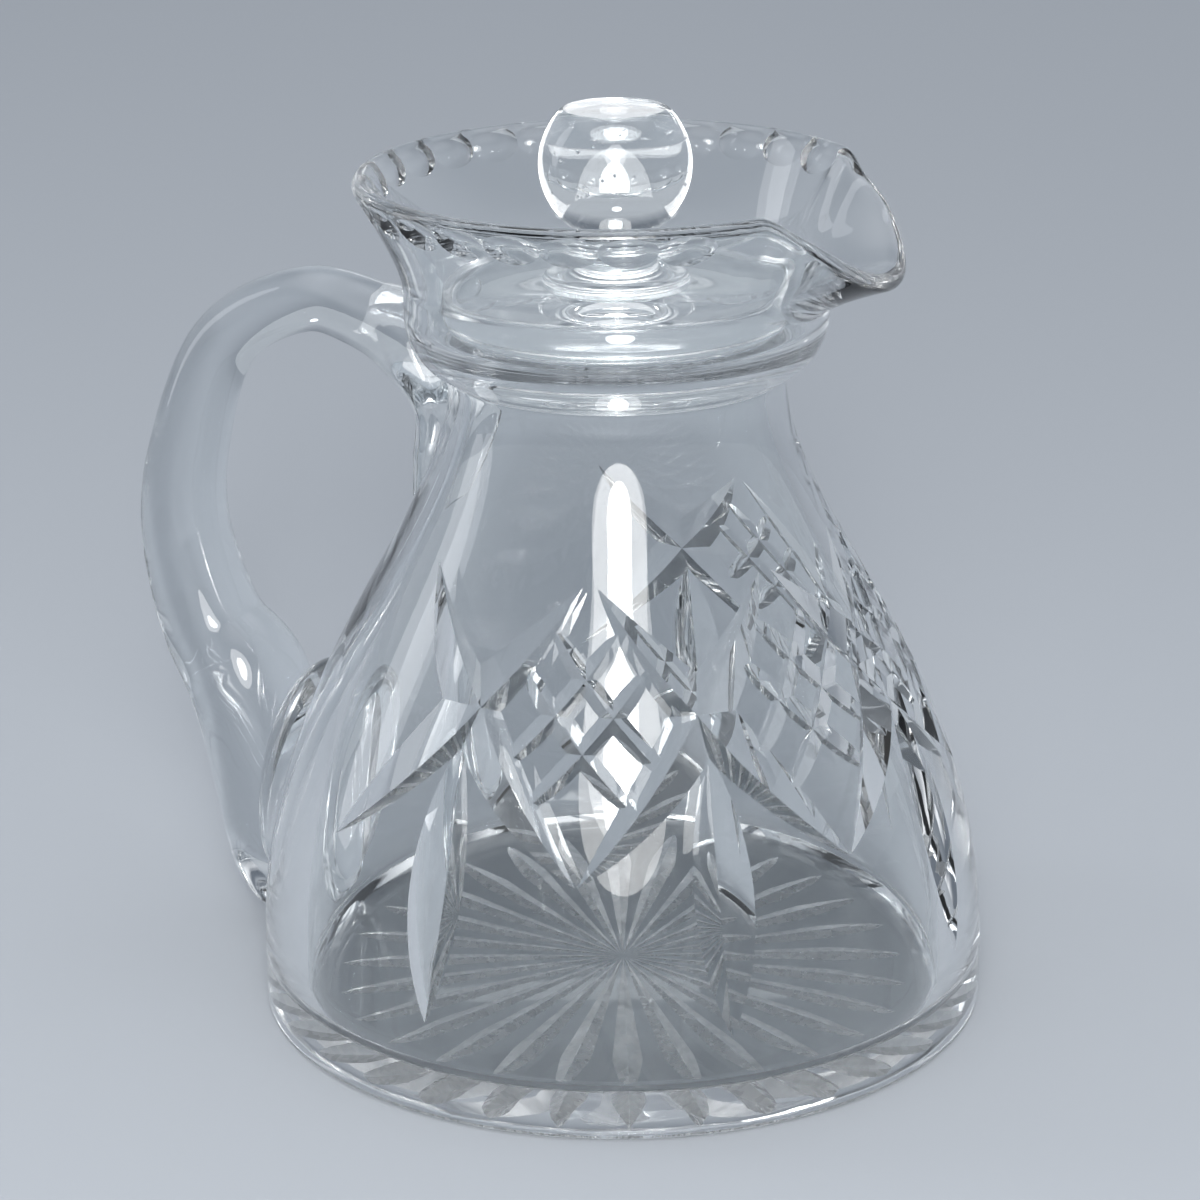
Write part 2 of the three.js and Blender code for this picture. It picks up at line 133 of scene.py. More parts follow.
class VesselSizes(PropertyGroup):
    """Sizes of the blown vessel"""
    base_radius: size("Base radius", "Radius of the side at the foot", BASE_RADIUS / MILLIMETRE)
    foot_bevel: size("Foot bevel", "Worn edge round the foot", 1.2)
    side_height: size("Side height", "Height where the side starts to draw in", 9)
    lower_pull: size("Lower pull", "How long the bell shape stays wide", 47)
    upper_pull: size("Upper pull", "How long the bell shape stays narrow", 24)
    neck_radius: size("Neck radius", "Outer radius under the ring", 27.1)
    neck_height: size("Neck height", "Height where the ring starts", 106)
    ring_bulge: size("Ring bulge", "How far the ring stands out", 6.9)
    ring_rise: size("Ring rise", "Height over the neck of its widest part", 11.5)
    ring_underside: size("Ring underside", "Height over the neck of its underside", 1.8)
    ring_tuck: angle("Ring tuck", "Angle of its underside at the neck", 72)
    collar_rise: size("Collar rise", "Height over the neck of the funnel's foot", 15.5)
    funnel_height: size("Funnel height", "Height of the funnel mouth", 17.9)
    funnel_flare: size("Funnel flare", "How far the rim stands out from the ring", 7.5)
    funnel_bend_out: size("Funnel bend", "How far out the funnel wall bends", 0.4)
    funnel_bend_share: number("Bend height", "Where in its height the funnel wall bends", 0.28)
    rim_thickness: size("Rim thickness", "Thickness of the fire polished rim", 3)
    floor_thickness: size("Floor thickness", "Thickness of the floor", 5)
    floor_fillet: size("Floor fillet", "How far in the floor's rounding reaches", 6)
    floor_fillet_rise: size("Floor fillet rise", "How far up that rounding reaches", 3.4)
    lower_wall: size("Lower wall", "Thickness of the wall at the floor", 6.6)
    neck_wall: size("Neck wall", "Thickness of the wall in the neck", 3.7)
    collar_wall: size("Collar wall", "Thickness of the wall over the ledge", 3.4)
    seat_rise: size("Seat rise", "Height over the neck of the lid's ledge", 8.2)
    seat_round: size("Seat rounding", "Rounding at either edge of the ledge", 2.5)


class LipSizes(PropertyGroup):
    """Sizes of the pouring lip and of the flutes round the rim"""
    turn: angle("Turn", "Turn of the lip off the handle's plane", 8)
    half_angle: angle("Half angle", "How far either way the lip reaches round the rim", 41)
    reach: size("Reach", "How far the lip stands out", 4.8)
    reach_crown: number("Reach crown", "How broad the middle of the lip stands out", 1.6)
    drop: size("Drop", "How far the lip is turned down", 13.2)
    drop_crown: number("Drop crown", "How broad the lowest part is", 2.1)
    drop_skirt: number("Drop skirt", "How softly the drop ends", 1.56)
    throat_drop: size("Throat drop", "How far the funnel's foot comes down there", 3)
    pinch_angle: angle("Pinch angle", "Where either side of the lip is pinched in", 33)
    pinch_spread: angle("Pinch spread", "How wide the pinch is", 5)
    pinch_depth: size("Pinch depth", "How deep the pinch is", 1.1)
    flutes: count("Flutes", "Number of flutes cut round the rim", 21)
    flute_pitch: angle("Flute pitch", "Angle between two flutes", 12.65)
    flute_turn: angle("Flute turn", "Turn of the flutes off the handle's plane", 3.5)
    flute_wheel: size("Flute wheel", "Radius of the flattened ball that cuts a flute", 15)
    flute_squash: number("Flute squash", "Height of that ball against its radius", 0.6)
    flute_depth: size("Flute depth", "Depth of each flute", 0.95)
    flute_drop: size("Flute drop", "How far its middle is under the rim", 1.5)


class CutSizes(PropertyGroup):
    """Sizes of the mitre cuts on the body and of the star under the base"""
    crossings: count("Crossings", "Number of crossings in the band", 5)
    pitch: angle("Pitch", "Angle between two crossings", 48.65)
    strays: FloatVectorProperty(name="Strays", description="How far each crossing is off its even place",
                                size=5, default=[math.radians(turn) for turn in STRAY_DEGREES])
    tip_gap: angle("Tip gap", "How far the upper arms end before the middle", 1.7)
    crossing_height: size("Crossing height", "Height of the crossings", 64.2)
    diamond_rise: size("Diamond rise", "Height of a diamond over the crossings", 17.7)
    diamond_fall: size("Diamond fall", "Height of a diamond under the crossings", 24.2)
    mitre_depth: size("Mitre depth", "Depth of the cuts that border the diamonds", 2.9)
    upper_run_out: number("Upper run-out", "How late the upper arms grow shallow", 1.4)
    lower_run_out: number("Lower run-out", "How late the lower arms grow shallow", 2.2)
    mitre_angle: angle("Mitre angle", "Half the angle of the border cuts", 58)
    hatch_spacing: size("Hatch spacing", "Height between the two hatch cuts of each lean", 10.2)
    hatch_fan_up: number("Upper fan", "Slope of the upper cuts against the border", 1.16)
    hatch_fan_down: number("Lower fan", "Slope of the lower cuts against the border", 0.84)
    hatch_depth: size("Hatch depth", "Depth of the hatch cuts", 1.1)
    hatch_run_out: number("Hatch run-out", "How late the hatch cuts grow shallow", 5)
    hatch_angle: angle("Hatch angle", "Half the angle of the hatch cuts", 58)
    leaf_gap: size("Leaf gap", "Height between a crossing and the leaf under it", 5)
    leaf_length: size("Leaf length", "Length of a leaf cut", 43)
    leaf_depth: size("Leaf depth", "Depth of a leaf cut at its middle", 3)
    leaf_angle: angle("Leaf angle", "Half the angle of the leaf cuts", 60)
    rays: count("Rays", "Number of rays in the star", 28)
    star_radius: size("Star radius", "Length of the rays", 48.5)
    ray_shoulder: size("Ray shoulder", "Where along a ray it is widest", 36)
    ray_angle: angle("Ray angle", "Half the angle of the ray cuts", 62)
    ray_share: number("Ray share", "Share of the turn that the rays take", 0.6)
    cutter_clear: size("Cutter clearance", "How far a cutter stands clear of the glass", 1.5)
    end_rise: size("End rise", "How far above the glass a cut starts and ends", 0.02)


class HandleSizes(PropertyGroup):
    """Sizes of the applied handle"""
    reach: size("Reach", "From the vessel's axis to the grip's outside", 89.75)
    top_height: size("Top height", "Height of the top of the loop", 118.4)
    shoulder_height: size("Shoulder height", "Height where the loop turns down", 86)
    grip_height: size("Grip height", "Height of the middle of the grip", 71.2)
    bend_height: size("Bend height", "Height where the rod turns in again", 53.6)
    bend_standoff: size("Bend standoff", "Distance of the rod's line from the body there", 27.8)
    elbow_height: size("Elbow height", "Height where the rod meets the body", 43.8)
    elbow_standoff: size("Elbow standoff", "Distance of the rod's line from the body there", 17.2)
    pad_height: size("Pad height", "Height of the broadest part of the pad", 29.5)
    foot_height: size("Pad foot height", "Height where the pad narrows", 13)
    tail_height: size("Tail height", "Height where the pad runs out", 6)
    tip_height: size("Tip height", "Height of the lower tip", 2.6)
    root_tail_height: size("Upper tail height", "Height of the upper tip", 82.3)
    root_tail_length: size("Upper tail length", "Length of the upper tail", 16.7)
    root_tail_thickness: size("Upper tail thickness", "Thickness of the upper tail", 9.4)
    rod_top_thickness: size("Top thickness", "Thickness of the rod at the top", 10.8)
    rod_top_width: size("Top width", "Width of the rod at the top", 13)
    rod_grip_thickness: size("Grip thickness", "Thickness of the rod at the grip", 15.2)
    rod_grip_width: size("Grip width", "Width of the rod at the grip", 15.5)
    root_thickness: size("Root thickness", "Thickness where the rod leaves the neck", 14)
    root_width: size("Root width", "Width where the rod leaves the neck", 22)
    elbow_thickness: size("Elbow thickness", "Thickness where the rod meets the body", 21)
    elbow_width: size("Elbow width", "Width where the rod meets the body", 22)
    pad_thickness: size("Pad thickness", "Thickness of the pad", 20)
    pad_width: size("Pad width", "Width of the pad", 23)
    pad_standoff: size("Pad standoff", "Distance of the pad's line from the body", 9.4)
    foot_standoff: size("Pad foot standoff", "Distance of the pad foot's line from the body", 6.2)
    foot_thickness: size("Pad foot thickness", "Thickness of the pad's foot", 15)
    foot_width: size("Pad foot width", "Width of the pad's foot", 20)
    tail_standoff: size("Tail standoff", "Distance of the tail's line from the body", 4.2)
    tail_thickness: size("Tail thickness", "Thickness of the tail", 10.5)
    tail_width: size("Tail width", "Width of the tail", 15)
    tip_standoff: size("Tip standoff", "Distance of the tip from the body", 3.2)
    tip_thickness: size("Tip thickness", "Thickness of the tip", 5)
    tip_width: size("Tip width", "Width of the tip", 7)
    seal_height: size("Seal height", "Height of the middle of the seal", 28.5)
    seal_length: size("Seal length", "Half the length of the seal", 21.5)
    seal_width: size("Seal width", "Half the width of the seal", 13.5)
    seal_rise: size("Seal rise", "How far the seal stands out from the body", 8.5)


class LidSizes(PropertyGroup):
    """Sizes of the lid and its knob"""
    rest_gap: size("Rest gap", "Gap between the lid and the ledge", 0.3)
    play: size("Play", "Gap between the lid's edge and the collar", 2.6)
    thickness: size("Thickness", "Thickness of the plate", 7.5)
    edge_round: size("Edge rounding", "Rounding of the plate's lower edge", 3.3)
    top_bevel: size("Top bevel", "Bevel of the plate's upper edge", 0.8)
    knob_foot_radius: size("Foot radius", "Radius of the knob's foot", 11.8)
    knob_foot_height: size("Foot height", "Height of the knob's foot", 1.9)
    knob_foot_edge: size("Foot edge", "Rounding of the knob's foot", 1)
    knob_waist_radius: size("Waist radius", "Radius of the knob's waist", 6.3)
    ball_radius: size("Ball radius", "Radius of the ball", 12.2)
    ball_rise: size("Ball rise", "Height of the ball's middle over the plate", 18.4)
    flat_rise: size("Flat rise", "Height of the ground flat over the ball's middle", 8.9)
    seeds: count("Seeds", "Number of tiny bubbles in the knob", 22)


class Finish(PropertyGroup):
    """Colours and finish of the glass and the stage"""
    glass: colour("Glass", "Colour of the clear glass", (0.925, 0.942, 0.948))
    drawn: colour("Drawn glass", "Colour of the thick glass of the handle", (0.86, 0.885, 0.9))
    floor: colour("Floor", "Colour of the floor", (0.47, 0.5, 0.54))
    horizon: colour("Horizon", "Colour of the room at eye level", (0.4, 0.43, 0.47))
    shoulder: colour("Shoulder", "Colour of the room half way up", (0.12, 0.14, 0.17))
    ceiling: colour("Ceiling", "Colour of the room overhead", (0.95, 0.97, 1.0))
    ceiling_strength: number("Ceiling strength", "How bright the room is", 1.15)


# Outlines, as points of radius and height

def arc(centre, radii, start, end, steps):
    """Points on an ellipse, with the angles in degrees."""
    turns = (math.radians(start + (end - start) * step / steps) for step in range(steps + 1))
    return [Vector((centre[0] + radii[0] * math.cos(turn), centre[1] + radii[1] * math.sin(turn)))
            for turn in turns]


def bezier(knots, steps):
    return interpolate_bezier(*(Vector(knot) for knot in knots), steps + 1)


def side_curve(vessel, radius_low, height_low, radius_high, steps):
    """The bell shape of the side, upright at its foot and at the neck."""
    pull = vessel.side_height + vessel.lower_pull
    draw = vessel.neck_height - vessel.upper_pull
    return bezier([(radius_low, height_low), (radius_low, pull),
                   (radius_high, draw), (radius_high, vessel.neck_height)], steps)


def lip_share(lip, turn):
    """How much of the lip's drop, and how much reach, there is at an angle from its middle."""
    away = abs(math.atan2(math.sin(turn - lip.turn), math.cos(turn - lip.turn)))
    share = min(1.0, away / lip.half_angle)
    pinch = math.exp(-(((away - lip.pinch_angle) / lip.pinch_spread) ** 2)) if share < 1 else 0
    drop = (1 - share ** lip.drop_crown) ** lip.drop_skirt
    return drop, lip.reach * (1 - share ** lip.reach_crown) - lip.pinch_depth * pinch


def funnel_wall(vessel, lip, turn):
    """The funnel at an angle: the outside going up, the rim, and the inside coming down."""
    drop, reach = lip_share(lip, turn)
    ring_radius = vessel.neck_radius + vessel.ring_bulge
    collar_top = vessel.neck_height + vessel.collar_rise
    half_rim = vessel.rim_thickness / 2
    foot = Vector((ring_radius - vessel.collar_wall / 2, collar_top - lip.throat_drop * drop))
    top = Vector((ring_radius + vessel.funnel_flare - half_rim + reach,
                  collar_top + vessel.funnel_height - half_rim - lip.drop * drop))
    bend_height = foot.y + vessel.funnel_bend_share * (top.y - foot.y) + MILLIMETRE * drop
    bend = Vector((foot.x + vessel.funnel_bend_out, bend_height))
    steps = 14
    outside, inside = [], []
    for step in range(steps + 1):
        along = step / steps
        middle = foot * (1 - along) ** 2 + bend * (2 * along * (1 - along)) + top * along ** 2
        run = ((bend - foot) * (1 - along) + (top - bend) * along).normalized()
        half = (vessel.collar_wall + (vessel.rim_thickness - vessel.collar_wall) * along) / 2
        across = Vector((run.y, -run.x)) * half
        outside.append(middle + across)
        inside.append(middle - across)
    lean = math.degrees(math.atan2(run.y, run.x))
    rim = arc(top, (half_rim, half_rim), lean - 90, lean + 90, 10)
    return outside, rim[1:-1], inside[::-1]


def vessel_outline(vessel, lip, turn):
    """The whole section of the vessel, from the middle of its base round to the middle of its floor."""
    outside, rim, inside = funnel_wall(vessel, lip, turn)
    neck, top = vessel.neck_radius, vessel.neck_height
    ring_radius = neck + vessel.ring_bulge
    underside = vessel.ring_underside
    ring = arc((neck, top + vessel.ring_rise), (vessel.ring_bulge, vessel.ring_rise - underside),
               -math.degrees(vessel.ring_tuck), 0, 20)
    tuck = bezier([(neck, top), (neck, top + underside / 2), (neck, top + underside), ring[0]], 5)
    bevel = vessel.foot_bevel
    foot = arc((vessel.base_radius - bevel, bevel), (bevel, bevel), -90, 0, 4)
    side = side_curve(vessel, vessel.base_radius, vessel.side_height, neck, 60)
    bore = neck - vessel.neck_wall
    seat, edge = top + vessel.seat_rise, vessel.seat_round
    seat_outer = arc((ring_radius - vessel.collar_wall - edge, seat + edge), (edge, edge), 0, -90, 8)
    seat_inner = arc((bore + edge, seat - edge), (edge, edge), 90, 180, 8)
    cavity = vessel.base_radius - vessel.lower_wall
    fillet, rise, floor = vessel.floor_fillet, vessel.floor_fillet_rise, vessel.floor_thickness
    wall = side_curve(vessel, cavity, floor + rise, bore, 48)[::-1]
    corner = arc((cavity - fillet, floor + rise), (fillet, rise), 0, -90, 10)[1:]
    return [Vector((0, 0)), *foot, *side, *tuck[1:], *ring[1:], *outside, *rim, *inside,
            *seat_outer, *seat_inner, *wall, *corner, Vector((0, floor))]


def lid_bottom(vessel, lid):
    return vessel.neck_height + vessel.seat_rise + lid.rest_gap


def plate_outline(vessel, lid):
    bottom = lid_bottom(vessel, lid)
    top = bottom + lid.thickness
    radius = vessel.neck_radius + vessel.ring_bulge - vessel.collar_wall - lid.play
    edge = lid.edge_round
    return [Vector((0, bottom)), *arc((radius - edge, bottom + edge), (edge, edge), -90, 0, 10),
            *arc((radius - lid.top_bevel, top - lid.top_bevel), (lid.top_bevel, lid.top_bevel), 0, 90, 4),
            Vector((0, top))]


def knob_outline(vessel, lid):
    plate_top = lid_bottom(vessel, lid) + lid.thickness
    sunk = plate_top - MILLIMETRE
    centre = plate_top + lid.ball_rise
    foot_top = plate_top + lid.knob_foot_height
    waist = lid.knob_waist_radius
    edge = lid.knob_foot_edge
    neck_turn = math.degrees(-math.acos(waist / lid.ball_radius))
    flat_turn = math.degrees(math.asin(lid.flat_rise / lid.ball_radius))
    waist_top = centre - math.sqrt(lid.ball_radius ** 2 - waist ** 2)
    foot = arc((lid.knob_foot_radius - edge, foot_top - edge), (edge, edge), -30, 90, 8)
    neck = bezier([foot[-1], (waist, foot_top), (waist, foot_top + edge), (waist, waist_top)], 14)
    ball = arc((0, centre), (lid.ball_radius, lid.ball_radius), neck_turn, flat_turn, 56)
    top = centre + lid.flat_rise
    worn_edge = [Vector((ball[-1].x - inset * MILLIMETRE, top)) for inset in (0.25, 0.7)]
    return [Vector((0, sunk)), Vector((foot[0].x, sunk)), *foot, *neck[1:], *ball[1:-1],
            *worn_edge, Vector((0, top))]


# Meshes

def mesh_of(name, bm):
    mesh = bpy.data.meshes.new(name)
    bm.to_mesh(mesh)
    bm.free()
    return mesh


def placed(name, data):
    """An object with this data, in the scene."""
    made = bpy.data.objects.new(name, data)
    bpy.context.scene.collection.objects.link(made)
    return made


def add_object(name, bm, materials):
    """Makes an object of a bmesh, smooth apart from its creases."""
    mesh = mesh_of(name, bm)
    for material in materials:
        mesh.materials.append(material)
    mesh.shade_smooth()
    mesh.set_sharp_from_angle(angle=SMOOTH_CREASE)
    note_normals(mesh)
    return placed(name, mesh)


def read_values(items, name, width, kind=np.float32):
    values = np.zeros(len(items) * width, kind)
    items.foreach_get(name, values)
    return values


def note_normals(mesh):
    """Keeps each corner's normal with the face, so that it outlasts the cutting."""
    normals = read_values(mesh.corner_normals, "vector", 3)
    mesh.attributes.new("kept_normal", "FLOAT_VECTOR", "CORNER").data.foreach_set("vector", normals)


def settle_normals(piece):
    """Gives the cut mesh back the normals of the smooth surfaces that it was cut from."""
    mesh = piece.data
    kept = read_values(mesh.attributes["kept_normal"].data, "vector", 3).reshape(-1, 3)
    faces = read_values(mesh.polygons, "normal", 3).reshape(-1, 3)
    corners = read_values(mesh.polygons, "loop_total", 1, np.int32)
    facing = np.repeat(faces, corners, axis=0)
    lengths = np.linalg.norm(kept, axis=1, keepdims=True)
    agree = np.sum(kept * facing, axis=1, keepdims=True)
    kept = np.where(lengths > 0.5, kept * np.sign(agree) / np.maximum(lengths, 0.5), facing)
    kept = np.where(np.abs(agree) < 0.3 * lengths, facing, kept)
    mesh.normals_split_custom_set(kept.tolist())
    mesh.attributes.remove(mesh.attributes["kept_normal"])


def face_outwards(bm):
    bm.normal_update()
    bmesh.ops.recalc_face_normals(bm, faces=bm.faces)


def turned(name, outline_at, sides, materials):
    """A solid turned about the vessel's axis; its outline may change with the angle."""
    bm = bmesh.new()
    row_of = bm.verts.layers.int.new("row")
    line = []
    for row, point in enumerate(outline_at(0)):
        line.append(bm.verts.new((point.x, 0, point.y)))
        line[-1][row_of] = row
    edges = [bm.edges.new(pair) for pair in zip(line, line[1:])]
    bmesh.ops.spin(bm, geom=line + edges, cent=(0, 0, 0), axis=(0, 0, 1), angle=FULL_TURN, steps=sides,
                   use_merge=True)
    outlines = {}
    for vert in bm.verts:
        side = round(math.atan2(vert.co.y, vert.co.x) / FULL_TURN * sides) % sides
        turn = side / sides * FULL_TURN
        if side not in outlines:
            outlines[side] = outline_at(turn)
        point = outlines[side][vert[row_of]]
        vert.co = (AXIS_X + point.x * math.cos(turn), point.x * math.sin(turn), point.y)
    bmesh.ops.remove_doubles(bm, verts=bm.verts, dist=1e-7)
    face_outwards(bm)
    return add_object(name, bm, materials)


def bent_bar(name, corners, stations, place_at, materials):
    """A bar with flat ends, made straight and then put in place corner by corner along its length."""
    bm = bmesh.new()
    bmesh.ops.create_cone(bm, cap_ends=True, segments=corners, radius1=1, radius2=1, depth=1)
    upright = [edge for edge in bm.edges if abs(edge.verts[0].co.z - edge.verts[1].co.z) > 0.5]
    bmesh.ops.subdivide_edges(bm, edges=upright, cuts=stations - 1, use_grid_fill=False)
    places = {}
    for vert in bm.verts:
        station = round((vert.co.z + 0.5) * stations)
        corner = round(math.atan2(vert.co.y, vert.co.x) / FULL_TURN * corners) % corners
        if station not in places:
            places[station] = place_at(station / stations)
        vert.co = places[station][corner] + AXIS
    face_outwards(bm)
    return add_object(name, bm, materials)


def carve(piece, cutters, operation="DIFFERENCE"):
    """Takes the cutters from a piece, and applies the result to its mesh."""
    group = bpy.data.collections.new("cutters")
    bpy.context.scene.collection.children.link(group)
    for cutter in cutters:
        group.objects.link(cutter)
    modifier = piece.modifiers.new("carve", "BOOLEAN")
    modifier.operation = operation
    modifier.solver = "MANIFOLD"
    modifier.operand_type = "COLLECTION"
    modifier.collection = group
    modifier.material_mode = "TRANSFER"
    graph = bpy.context.evaluated_depsgraph_get()
    made = bpy.data.meshes.new_from_object(piece.evaluated_get(graph))
    piece.modifiers.clear()
    before = piece.data
    piece.data = made
    bpy.data.meshes.remove(before)
    bpy.data.collections.remove(group)
    if not made.polygons:
        raise RuntimeError(f"nothing is left of {piece.name} after cutting")


def discard(objects):
    for spent in objects:
        mesh = spent.data
        bpy.data.objects.remove(spent)
        bpy.data.meshes.remove(mesh)


def fuse(host, guest, joint):
    """Ends two pieces of glass at one shared patch, which bends no light, as glass joined hot does."""
    own = {material.name for material in guest.data.materials}
    blank = placed("blank", guest.data.copy())
    carve(guest, [host])
    carve(host, [blank])
    discard([blank])
    for piece in (guest, host):
        piece.data.materials.append(joint)
    patch = joint_patch(guest, own)
    line_socket(host, own, patch)
    bpy.data.meshes.remove(patch)
    part_joint(guest)


def joint_patch(guest, own):
    """Marks the guest's end as the joint, and gives a copy of it that faces the other way."""
    names = [material.name for material in guest.data.materials]
    joint_index = len(names) - 1
    patch = bmesh.new()
    patch.from_mesh(guest.data)
    others = [face for face in patch.faces if names[face.material_index] in own]
    for face in guest.data.polygons:
        if names[face.material_index] not in own:
            face.material_index = joint_index
    bmesh.ops.delete(patch, geom=others, context="FACES")
    bmesh.ops.reverse_faces(patch, faces=patch.faces)
    return mesh_of("patch", patch)


def line_socket(host, own, patch):
    """Puts the patch in place of the faces that the guest's shape cut into the host."""
    names = [material.name for material in host.data.materials]
    whole = bmesh.new()
    whole.from_mesh(host.data)
    socket = [face for face in whole.faces if names[face.material_index] in own]
    bmesh.ops.delete(whole, geom=socket, context="FACES")
    for face in patch.polygons:
        face.material_index = len(names) - 1
    whole.from_mesh(patch)
    rim = [vert for vert in whole.verts if vert.is_boundary]
    bmesh.ops.remove_doubles(whole, verts=rim, dist=WELD_REACH)
    if not all(edge.is_manifold for edge in whole.edges):
        raise RuntimeError(f"{host.name} is left open where a piece is fused to it")
    whole.to_mesh(host.data)
    whole.free()


def part_joint(guest):
    """Draws the guest's end back by a hair, so that light doesn't catch between two equal faces."""
    joint_index = len(guest.data.materials) - 1
    part = bmesh.new()
    part.from_mesh(guest.data)
    part.normal_update()
    for vert in part.verts:
        if all(face.material_index == joint_index for face in vert.link_faces):
            vert.co -= vert.normal * JOINT_GAP
    part.to_mesh(guest.data)
    part.free()


def finish_piece(piece, body, node):
    """Drops unused materials, settles the normals, and ties the piece to the frame."""
    mesh = piece.data
    used = sorted({face.material_index for face in mesh.polygons})
    places = [used.index(face.material_index) for face in mesh.polygons]
    kept = [mesh.materials[index] for index in used]
    mesh.materials.clear()
    for material in kept:
        mesh.materials.append(material)
    mesh.polygons.foreach_set("material_index", places)
    settle_normals(piece)
    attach(piece, body)
    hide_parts(node)
    print(piece.name, len(mesh.polygons), "faces")


# Cuts

def side_line(vessel):
    """Heights and radii along the outside, close enough together to read between."""
    points = side_curve(vessel, vessel.base_radius, vessel.side_height, vessel.neck_radius, 400)
    return [point.y for point in points], [point.x for point in points]


def on_side(line, turn, height):
    """Where the outside is at an angle and height, and which way it faces."""
    heights, radii = line
    reach = 0.3 * MILLIMETRE
    above, below = (np.interp(height + step, heights, radii) for step in (reach, -reach))
    slope = (above - below) / (2 * reach)
    outward = Vector((math.cos(turn), math.sin(turn), 0))
    place = outward * float(np.interp(height, heights, radii)) + Vector((0, 0, height))
    return place, (outward - Vector((0, 0, float(slope)))).normalized()


def v_cut(cuts, place_at, depth_at, half_angle, stations, material):
    """A three-cornered bar laid along a path, with one edge sunk to the depth of the cut."""
    def corners_at(along):
        place, normal = place_at(along)
        ahead, behind = place_at(min(1, along + 0.01))[0], place_at(max(0, along - 0.01))[0]
        side = normal.cross(ahead - behind).normalized()
        depth = depth_at(along)
        half_width = (depth + cuts.cutter_clear) * math.tan(half_angle)
        top = place + normal * cuts.cutter_clear
        return [place - normal * depth, top + side * half_width, top - side * half_width]
    return bent_bar("cutter", 3, stations, corners_at, [material])


def side_cut(cuts, line, start, end, depth_at, half_angle, stations, material):
    """A V cut on the side, straight from one (angle, height) to another."""
    def place_at(along):
        return on_side(line, start[0] + (end[0] - start[0]) * along, start[1] + (end[1] - start[1]) * along)
    return v_cut(cuts, place_at, depth_at, half_angle, stations, material)


def crossing_turns(cuts):
    return [(index - (cuts.crossings - 1) / 2) * cuts.pitch + cuts.strays[index % len(cuts.strays)]
            for index in range(cuts.crossings)]


def mitre_cutters(cuts, line, material):
    """From each crossing four cuts run out to the tips of the diamonds on either side."""
    def depth_with(run_out):
        return lambda along: cuts.mitre_depth * (1 - along ** run_out) - cuts.end_rise
    height = cuts.crossing_height
    cutters = []
    turns = crossing_turns(cuts)
    for turn in turns:
        for lean in (-1, 1):
            gaps = [abs(turn - other) for other in turns if (other - turn) * lean > 0]
            half = min(gaps, default=cuts.pitch) / 2
            upper = (turn + lean * (half - cuts.tip_gap), height + cuts.diamond_rise)
            lower = (turn + lean * half, height - cuts.diamond_fall)
            for tip, run_out in ((upper, cuts.upper_run_out), (lower, cuts.lower_run_out)):
                cutters.append(side_cut(cuts, line, (turn, height), tip, depth_with(run_out),
                                        cuts.mitre_angle, 16, material))
    return cutters


def hatch_cutters(cuts, line, material):
    """In each diamond two cuts lean each way, fanned to follow its borders."""
    def depth_at(along):
        return cuts.hatch_depth * (1 - abs(2 * along - 1) ** cuts.hatch_run_out) - cuts.end_rise
    cutters = []
    turns = crossing_turns(cuts)
    for turn, following in zip(turns, turns[1:]):
        half = (following - turn) / 2
        rise_slope, fall_slope = cuts.diamond_rise / half, cuts.diamond_fall / half
        for level in (-0.5, 0.5):
            slope = rise_slope * cuts.hatch_fan_up if level > 0 else fall_slope * cuts.hatch_fan_down
            offset = level * cuts.hatch_spacing
            height = cuts.crossing_height + offset
            above = (cuts.diamond_rise - offset) / (slope + rise_slope)
            below = (offset + cuts.diamond_fall) / (slope + fall_slope)
            for lean in (-1, 1):
                low = (turn + half - lean * below, height - slope * below)
                high = (turn + half + lean * above, height + slope * above)
                cutters.append(side_cut(cuts, line, low, high, depth_at, cuts.hatch_angle, 12, material))
    return cutters


def leaf_cutters(cuts, line, material):
    """Under each crossing one upright cut, deepest at its middle."""
    def depth_at(along):
        return cuts.leaf_depth * (1 - (2 * along - 1) ** 2) - cuts.end_rise
    top = cuts.crossing_height - cuts.leaf_gap
    return [side_cut(cuts, line, (turn, top), (turn, top - cuts.leaf_length), depth_at, cuts.leaf_angle, 28,
                     material) for turn in crossing_turns(cuts)]


def star_cutters(cuts, material):
    """Rays under the base that widen to their shoulder and end in a round tip."""
    widest = cuts.ray_share * math.pi * cuts.ray_shoulder / cuts.rays

    def depth_at(along):
        radius = cuts.star_radius * along
        if radius < cuts.ray_shoulder:
            half_width = widest * radius / cuts.ray_shoulder
        else:
            left = (cuts.star_radius - radius) / (cuts.star_radius - cuts.ray_shoulder)
            half_width = widest * math.sqrt(left)
        return half_width / math.tan(cuts.ray_angle) - cuts.end_rise

    def ray(index):
        turn = index / cuts.rays * FULL_TURN
        outward = Vector((math.cos(turn), math.sin(turn), 0))
        return v_cut(cuts, lambda along: (outward * cuts.star_radius * along, Vector((0, 0, -1))), depth_at,
                     cuts.ray_angle, 24, material)
    return [ray(index) for index in range(cuts.rays)]


